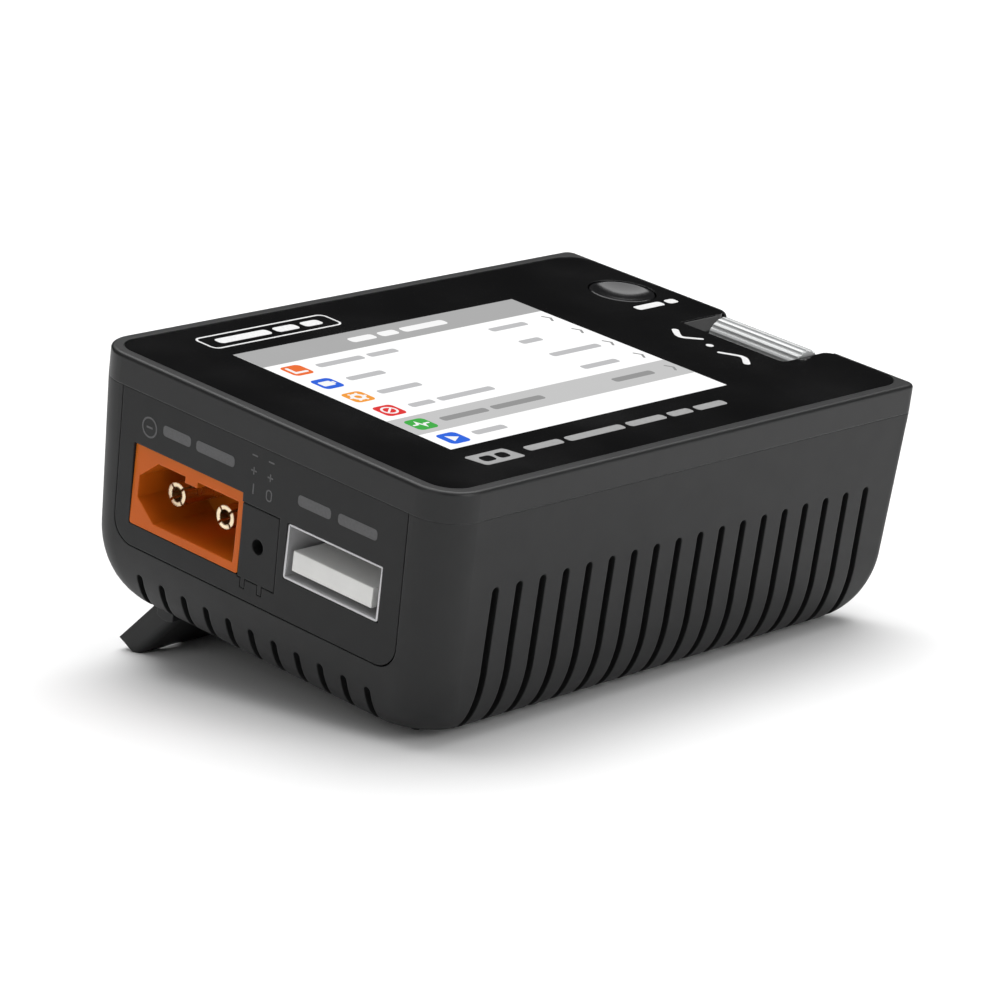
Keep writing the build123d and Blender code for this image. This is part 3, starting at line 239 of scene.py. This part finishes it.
CASE_GREY = (0.0132, 0.0134, 0.0137)
# The band's grey is a shaded copy of the case grey: its slightly different tone is painted shade on
# the upright band.
BAND_SHADED_GREY = (0.0128, 0.013, 0.0133)
materials = {
    "case": finish(
        "case_plastic", CASE_GREY, 0.5, specular=0.3,
        grain_mm=0.16, grain_depth_mm=0.005, worn_and_lit_edge_factor=2.2, mottle=0.03, rough_spread=0.02,
    ),
    # The band's strong corner lightening is a painted highlight along the rim's top edge.
    "band": finish(
        "band_plastic_shaded", BAND_SHADED_GREY, 0.4, specular=0.3,
        grain_mm=0.16, grain_depth_mm=0.002, worn_and_lit_edge_factor=3.2, mottle=0.02, rough_spread=0.02,
    ),
    "panel": finish(
        "panel_plastic", CASE_GREY, 0.5, specular=0.24,
        grain_mm=0.14, grain_depth_mm=0.003, worn_and_lit_edge_factor=1.6, mottle=0.03, rough_spread=0.02,
    ),
    "cover": gloss_black("cover_gloss", (0.0027, 0.0027, 0.0029), 0.14),
    "button": finish(
        "button_satin", (0.008, 0.008, 0.0085), 0.17, specular=0.28,
        grain_mm=0.3, grain_depth_mm=0.0005, worn_and_lit_edge_factor=2.4, rough_spread=0.02, mottle=0.04,
    ),
    "roller": brushed(
        "roller_alloy", (0.6, 0.61, 0.61), 0.42,
        # Painted shade: the roller darkens inside its grooves.
        metallic=0.15, stretch=(1, 25, 1), hollow_shade_mm=0.35,
    ),
    "steel": brushed("steel", (0.55, 0.55, 0.56), 0.35),
    "black_steel": brushed("black_oxide_steel", (0.09, 0.09, 0.09), 0.4),
    "tin": brushed("usb_tin_plate", (0.6, 0.6, 0.61), 0.48, metallic=0.6, stretch=(20, 1, 1)),
    "carriage": finish("carriage_plastic", (0.012, 0.012, 0.012), 0.5, specular=0.3),
    "orange": finish(
        "connector_orange", (0.57, 0.107, 0.005), 0.45, specular=0.22,
        grain_mm=0.25, grain_depth_mm=0.004, worn_and_lit_edge_factor=1.25, mottle=0.05, rough_spread=0.03,
        # Painted shade: the orange turns to this darker colour inside the housing's opening.
        hollow_shade_mm=3.0, hollow_shade_colour=(0.38, 0.15, 0.004),
    ),
    "gold": finish(
        "gold_plate", (0.82, 0.68, 0.47), 0.26, metallic=1.0,
        grain_mm=0.2, grain_depth_mm=0.002, worn_and_lit_edge_factor=1.15, mottle=0.1, mottle_mm=1.0,
    ),
    "white": finish("nylon_white", (0.74, 0.74, 0.72), 0.45, worn_and_lit_edge_factor=1.1, mottle=0.04),
    "black_nylon": finish("black_nylon", (0.02, 0.02, 0.021), 0.5, grain_mm=0.2),
    "laminate": finish(
        "solder_mask", (0.012, 0.06, 0.03), 0.35, grain_mm=0.8, grain_depth_mm=0.01, mottle=0.25,
    ),
    "epoxy": finish("epoxy", (0.015, 0.015, 0.016), 0.55, mottle=0.1),
    "alloy": brushed("extruded_alloy", (0.5, 0.5, 0.52), 0.42, stretch=(1, 20, 1)),
    "ferrite": finish(
        "pressed_ferrite", (0.09, 0.09, 0.095), 0.7, grain_mm=0.3, grain_depth_mm=0.02, mottle=0.3,
    ),
    "sleeve": finish("capacitor_sleeve", (0.02, 0.03, 0.09), 0.35, mottle=0.1),
    "soft_pad": finish("silicone_pad", (0.3, 0.36, 0.45), 0.7, mottle=0.2),
    "foam": finish("foam", (0.015, 0.015, 0.015), 0.9, grain_mm=0.25, grain_depth_mm=0.05),
    "rubber": finish("foot_rubber", (0.018, 0.018, 0.018), 0.8, grain_mm=0.3, grain_depth_mm=0.02),
    "fan": finish("fan_plastic", (0.016, 0.016, 0.017), 0.4, worn_and_lit_edge_factor=1.6),
    "screen": lit("screen_white", (1.0, 1.0, 1.0), 1.05),
}

dressed = {
    "lower_shell": "case", "upper_shell": "band", "stand_leg": "case",
    "input_panel": "panel", "output_panel": "panel", "signal_plug": "panel",
    "top_plate": "cover", "display_glass": "screen",
    "exit_button": "button", "exit_plunger": "button",
    "roller": "roller", "roller_axle": "steel", "stand_pins": "steel",
    "case_screws": "black_steel", "board_screws": "steel", "usb_shell": "tin",
    "roller_carriage": "carriage", "roller_base": "carriage",
    "power_input_housing": "orange", "power_output_housing": "orange",
    "power_input_pins": "gold", "power_output_sockets": "gold", "usb_contacts": "gold",
    "signal_pins": "gold", "balance_pins": "gold",
    "usb_tongue": "white", "balance_socket": "white",
    "exit_switch": "black_nylon", "roller_switch": "black_nylon", "board_header": "black_nylon",
    "board_socket": "black_nylon", "signal_header": "black_nylon", "buzzer": "black_nylon",
    "main_board": "laminate", "ui_board": "laminate",
    "controller_chip": "epoxy", "mosfets": "epoxy", "shunt_resistors": "epoxy",
    "heatsink": "alloy", "display_module": "alloy", "inductors": "ferrite",
    "capacitors": "sleeve", "thermal_pad": "soft_pad", "display_gasket": "foam",
    "rubber_feet": "rubber", "fan_frame": "fan", "fan_rotor": "fan",
}
for name, look in dressed.items():
    cad[name].data.materials.clear()
    cad[name].data.materials.append(materials[look])


# ------------------------------------------------------------------ flat shapes, as outlines
def circle_points(centre, radius, start=0.0, turn=360.0, steps=20):
    """Points round an arc, in degrees."""
    angles = [math.radians(start + turn * i / steps) for i in range(steps + (turn < 360))]
    return [(centre[0] + radius * math.cos(a), centre[1] + radius * math.sin(a)) for a in angles]


def rounded_box(centre, width, height, radius, slant=0.0):
    """A rectangle with round corners, leaning sideways by slant over its height."""
    points = []
    for sx, sy, start in ((1, 1, 0), (-1, 1, 90), (-1, -1, 180), (1, -1, 270)):
        corner = (sx * (width / 2 - radius), sy * (height / 2 - radius))
        points += circle_points(corner, radius, start, 90, 6)
    return [(centre[0] + x + slant * y / height, centre[1] + y) for x, y in points]


def bar(start, width, height):
    """A plain bar that stands for a word, from its left end."""
    return rounded_box((start[0] + width / 2, start[1]), width, height, height * 0.35)


def stroke(points, width, end_width=None):
    """A line with round ends, as an outline, of one width or tapering to another."""
    path = [Vector(p) for p in points]
    growth = ((end_width or width) - width) / 2 / (len(path) - 1)
    halves = [width / 2 + growth * i for i in range(len(path))]
    sides = ([], [])
    for i, point in enumerate(path):
        before = (point - path[i - 1]).normalized() if i else None
        after = (path[i + 1] - point).normalized() if i + 1 < len(path) else None
        along = ((before or after) + (after or before)).normalized()
        across = Vector((-along.y, along.x))
        reach = halves[i] / max(along.dot(after or before), 0.4)
        sides[0].append(point + across * reach)
        sides[1].append(point - across * reach)
    first = path[1] - path[0]
    last = path[-1] - path[-2]
    begin = math.degrees(math.atan2(first.y, first.x))
    end = math.degrees(math.atan2(last.y, last.x))
    head = circle_points(path[-1], halves[-1], end + 90, -180, 8)[1:-1]
    tail = circle_points(path[0], halves[0], begin - 90, -180, 8)[1:-1]
    return [*[tuple(p) for p in sides[0]], *head, *[tuple(p) for p in reversed(sides[1])], *tail]


def hook(start, corner, end, width, end_width):
    """A tapering line with one round bend."""
    a, b, c = Vector(start), Vector(corner), Vector(end)
    near, far = a.lerp(b, 0.5), c.lerp(b, 0.7)
    bend = [near.lerp(b, t / 6).lerp(b.lerp(far, t / 6), t / 6) for t in range(7)]
    return stroke([a, *bend, c], width, end_width)


def on_cover(u, v, height):
    """A point on the cover plate."""
    return Vector((u, v, COVER_Z + height))


def on_input_panel(u, v, height):
    """A point on the input panel, with u to the right as it is read from outside."""
    return Vector((-END_X + (SEAM_Z - v) * END_DRAFT - height, -u, v))


def raised(name, surface, low, high, material, outlines=(), bands=(), body="case"):
    """A thin layer on a surface: filled outlines, and bands between an outer and an inner loop."""
    shape = bmesh.new()

    def corner(point, height):
        return shape.verts.new(CASE @ surface(point[0], point[1], height))

    for outline in outlines:
        top = [corner(p, high) for p in outline]
        foot = [corner(p, low) for p in outline]
        shape.faces.new(top)
        for i in range(len(top)):
            shape.faces.new((foot[i - 1], foot[i], top[i], top[i - 1]))
    for outer, inner in bands:
        rings = ((outer, low), (outer, high), (inner, high), (inner, low))
        loops = [[corner(p, height) for p in ring] for ring, height in rings]
        for first, second in zip(loops, loops[1:]):
            for i in range(len(first)):
                shape.faces.new((first[i - 1], first[i], second[i], second[i - 1]))
    bmesh.ops.recalc_face_normals(shape, faces=shape.faces)
    mesh = bpy.data.meshes.new(name)
    shape.to_mesh(mesh)
    shape.free()
    piece = bpy.data.objects.new(name, mesh)
    bpy.context.scene.collection.objects.link(piece)
    mesh.materials.append(material)
    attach(piece, body)


# ------------------------------------------------------------------ the picture on the screen
SCREEN_LEFT, SCREEN_RIGHT = -25.59, 16.11
SCREEN_FRONT, SCREEN_BACK = -15.4, 15.7
ROW_COUNT = 7
ROW_HEIGHT = (SCREEN_BACK - SCREEN_FRONT) / ROW_COUNT
LABEL_X = -20.05
VALUE_X = 5.7
CHEVRON_X = 14.7
ICON_X = -22.95
ICON_SIZE = 2.75
WORD_GAP = 0.75
WORD_HEIGHT = 1.05
SELECTED_ROW = 5
PICTURE_LAYER = 0.01


def row_y(row):
    """The middle of a row, counted from the header at the back."""
    return SCREEN_BACK - (row + 0.5) * ROW_HEIGHT


def words(start, lengths, y, height=WORD_HEIGHT):
    """Plain bars in a line, one for each word."""
    outlines = []
    x = start
    for length in lengths:
        outlines.append(bar((x, y), length, height))
        x += length + WORD_GAP
    return outlines


def band_across(row):
    """The whole width of one row."""
    y = row_y(row)
    half = ROW_HEIGHT / 2
    return [
        (SCREEN_LEFT, y - half), (SCREEN_RIGHT, y - half),
        (SCREEN_RIGHT, y + half), (SCREEN_LEFT, y + half),
    ]


def grey(level):
    """A neutral colour."""
    return (level, level, level)


def pictured(name, layer, material, outlines, bands=()):
    """Shapes of the lit picture, in one of its thin layers."""
    low, high = layer * PICTURE_LAYER, (layer + 1) * PICTURE_LAYER
    raised(name, on_cover, low, high, material, outlines, bands)


labels = [(6.6, 4.2), (5.2,), (6.0,), (3.4, 8.0), (6.6, 7.6), (4.6,)]
values = [(5.6,), (3.2,), (7.6,), (5.6,), (6.2,)]
picture = lit("screen_text", (0.53, 0.53, 0.54))
picture_dark = lit("screen_text_dark", grey(0.3))
pictured("screen_header", 0, lit("screen_header_grey", grey(0.42)), [band_across(0)])
selected_grey = lit("screen_selected_grey", grey(0.57))
pictured("screen_selected_row", 0, selected_grey, [band_across(SELECTED_ROW)])
header_words = words(-11.0, (3.6, 2.6, 6.6), row_y(0), 1.3)
pictured("screen_header_words", 1, lit("screen_header_text", grey(0.95)), header_words)

# Words of the rows. The chevrons at the right share the darker colour of the selected row's words.
text = []
selected_text = []
for row, lengths in enumerate(labels, 1):
    shapes = selected_text if row == SELECTED_ROW else text
    shapes += words(LABEL_X, lengths, row_y(row))
for row, lengths in enumerate(values, 1):
    shapes = selected_text if row == SELECTED_ROW else text
    shapes += words(VALUE_X, lengths, row_y(row))
    tip = (CHEVRON_X + 0.5, row_y(row))
    ends = [(CHEVRON_X, row_y(row) + 0.75), (CHEVRON_X, row_y(row) - 0.75)]
    selected_text.append(stroke([ends[0], tip, ends[1]], 0.3))
pictured("screen_words", 1, picture, text)
pictured("screen_selected_words", 1, picture_dark, selected_text)

ICONS = [
    ("orange", (0.86, 0.16, 0.03)), ("blue", (0.02, 0.12, 0.72)), ("amber", (0.9, 0.34, 0.04)),
    ("red", (0.75, 0.03, 0.03)), ("green", (0.05, 0.42, 0.06)), ("azure", (0.02, 0.13, 0.75)),
]
glyph_white = lit("screen_glyph_white", grey(0.95))
for row, (name, colour) in enumerate(ICONS, 1):
    tile = rounded_box((ICON_X, row_y(row)), ICON_SIZE, ICON_SIZE, 0.6)
    pictured(f"screen_icon_{name}", 1, lit(f"screen_{name}", colour), [tile])


def in_icon(row, points):
    """Points given from the middle of a row's icon."""
    return [(ICON_X + u, row_y(row) + v) for u, v in points]


pulse = [(-1.0, 0.0), (-0.45, 0.0), (-0.2, 0.6), (0.15, -0.6), (0.4, 0.0), (1.0, 0.0)]
cog_middle, stop_middle = in_icon(3, [(0, 0)])[0], in_icon(4, [(0, 0)])[0]
teeth = circle_points(cog_middle, 0.98, steps=6)
glyph_shapes = [
    stroke(in_icon(1, [(-0.7, 0.75), (-0.7, -0.6), (0.8, -0.6)]), 0.42),
    rounded_box((ICON_X - 0.1, row_y(2)), 1.6, 1.2, 0.2),
    rounded_box((ICON_X + 0.9, row_y(2)), 0.25, 0.6, 0.1),
    *[circle_points(tooth, 0.17, steps=8) for tooth in teeth],
    stroke(in_icon(4, [(-0.45, -0.35), (0.45, 0.35)]), 0.22),
    stroke(in_icon(5, pulse), 0.26),
    in_icon(6, [(-0.5, 0.75), (-0.5, -0.75), (0.8, 0.0)]),
]
glyph_bands = [
    (circle_points(cog_middle, 0.85), circle_points(cog_middle, 0.42)),
    (circle_points(stop_middle, 0.95), circle_points(stop_middle, 0.7)),
]
pictured("screen_glyphs", 2, glyph_white, glyph_shapes, glyph_bands)

# ------------------------------------------------------------------ printed marks
INK_HEIGHT = 0.02
PILL_CENTRE = (-16.8, 19.6)
TAB_CENTRE = (-23.1, -19.0)
white_ink = ink("cover_ink_white", grey(0.66))
grey_ink = ink("cover_ink_grey", grey(0.25))
pill_outer = rounded_box(PILL_CENTRE, 18.6, 3.6, 0.9)
pill_inner = rounded_box(PILL_CENTRE, 18.1, 3.1, 0.65)
pill_words = [bar((x, PILL_CENTRE[1]), w, 1.4) for x, w in ((-24.2, 7.4), (-16.0, 3.2), (-12.0, 2.6))]
raised("cover_pill", on_cover, 0.0, INK_HEIGHT, white_ink, pill_words, [(pill_outer, pill_inner)])

slanted = rounded_box(TAB_CENTRE, 5.6, 2.7, 0.4, slant=-0.6)
raised("cover_tab", on_cover, 0.0, INK_HEIGHT, grey_ink, [slanted])
tab_words = [bar((x, TAB_CENTRE[1]), w, 1.3) for x, w in ((-25.0, 1.7), (-22.8, 1.5))]
raised("cover_tab_words", on_cover, INK_HEIGHT, 1.5 * INK_HEIGHT, materials["cover"], tab_words)
line_words = words(-18.6, (5.2, 8.4, 5.6, 3.4, 4.6), -18.95, 1.2)
raised("cover_line", on_cover, 0.0, INK_HEIGHT, grey_ink, line_words)

button_label = [bar((26.9, 7.0), 4.4, 1.2), bar((32.0, 7.0), 1.6, 1.2)]
wheel_marks = [
    hook((25.21, -0.26), (23.67, -2.07), (25.58, -3.73), 0.8, 0.5),
    hook((23.8, -11.67), (25.35, -10.05), (23.84, -7.77), 0.8, 0.5),
    circle_points((24.71, -5.65), 0.44),
]
raised("cover_key_marks", on_cover, 0.0, INK_HEIGHT, white_ink, button_label + wheel_marks)

# Marks above the input connectors: polarity signs, and bars for the ratings.
panel_ink = ink("panel_ink", (0.085, 0.085, 0.087))
MINUS_Y, PLUS_Y, CURRENT_Y = 22.6, 20.98, 19.1
panel_shapes = [bar((-14.1, 20.9), 4.1, 1.15), bar((-9.2, 20.9), 5.6, 1.15)]
panel_shapes += [bar((5.6, 20.1), 4.6, 1.15), bar((11.2, 20.1), 5.4, 1.15)]
for u in (-0.8, 1.55):
    panel_shapes.append(bar((u - 0.4, MINUS_Y), 0.8, 0.16))
    panel_shapes.append(bar((u - 0.4, PLUS_Y), 0.8, 0.16))
    panel_shapes.append(rounded_box((u, PLUS_Y), 0.16, 0.8, 0.05))
panel_shapes.append(rounded_box((-0.7, CURRENT_Y), 0.18, 1.1, 0.05))
minus_centre = (-16.13, 20.5)
panel_shapes.append(bar((minus_centre[0] - 0.45, minus_centre[1]), 0.9, 0.2))
panel_bands = [
    (circle_points(minus_centre, 1.12, steps=32), circle_points(minus_centre, 0.93, steps=32)),
    (
        rounded_box((1.55, CURRENT_Y), 0.85, 1.25, 0.4),
        rounded_box((1.55, CURRENT_Y), 0.55, 0.95, 0.26),
    ),
]
raised(
    "panel_marks", on_input_panel, 0.0, 0.015, panel_ink,
    panel_shapes, panel_bands,
)

# ------------------------------------------------------------------ studio
FLOOR_HALF = 4.0
SKY_DARKEST, SKY_BRIGHTEST = 0.02, 0.95
LENS_MM = 148.8
SENSOR_MM = 36.0


def floor():
    """A plain pale floor."""
    shape = bmesh.new()
    corners = ((-1, -1), (1, -1), (1, 1), (-1, 1))
    shape.faces.new([shape.verts.new((x * FLOOR_HALF, y * FLOOR_HALF, 0)) for x, y in corners])
    mesh = bpy.data.meshes.new("floor")
    shape.to_mesh(mesh)
    shape.free()
    piece = bpy.data.objects.new("floor", mesh)
    bpy.context.scene.collection.objects.link(piece)
    material, _, main = principled("floor_paper")
    main.inputs["Base Color"].default_value = (0.86, 0.86, 0.86, 1.0)
    main.inputs["Roughness"].default_value = 0.9
    main.inputs["Specular IOR Level"].default_value = 0.1
    mesh.materials.append(material)


def soft_light(name, place, size, power, aim=(0.0, 0.0, 0.015)):
    """A square soft box aimed at the charger."""
    lamp = bpy.data.lights.new(name, "AREA")
    lamp.shape = "SQUARE"
    lamp.size = size
    lamp.energy = power
    piece = bpy.data.objects.new(name, lamp)
    bpy.context.scene.collection.objects.link(piece)
    piece.location = place
    direction = Vector(aim) - Vector(place)
    piece.rotation_euler = direction.to_track_quat("-Z", "Y").to_euler()


floor()
soft_light("overhead_box", (0.3, 0.25, 1.1), 1.3, 17.0)
soft_light("left_box", (-1.1, -0.1, 0.4), 0.9, 2.8)
soft_light("front_box", (0.2, -1.2, 0.45), 0.9, 7.6)

world = bpy.data.worlds.new("studio")
bpy.context.scene.world = world
world.use_nodes = True
sky = world.node_tree
direction = add(sky, "ShaderNodeTexCoord").outputs["Generated"]
height = add(sky, "ShaderNodeSeparateXYZ", {0: direction}).outputs["Z"]
glow = remap(sky, height, 0.5, 1.0, SKY_DARKEST, SKY_BRIGHTEST)
sky.links.new(glow, sky.nodes["Background"].inputs["Strength"])
sky.nodes["Background"].inputs["Color"].default_value = (1.0, 1.0, 1.0, 1.0)

CAMERA_PLACE = Vector((-0.30894, -0.28903, 0.11712))
CAMERA_LOOK = Vector((0.7103, 0.6640, -0.2335))
camera_data = bpy.data.cameras.new("camera")
camera_data.lens = LENS_MM
camera_data.sensor_width = SENSOR_MM
camera = bpy.data.objects.new("camera", camera_data)
bpy.context.scene.collection.objects.link(camera)
camera.location = CAMERA_PLACE
camera.rotation_euler = CAMERA_LOOK.to_track_quat("-Z", "Y").to_euler()
bpy.context.scene.camera = camera
bpy.context.scene.view_settings.view_transform = "Standard"
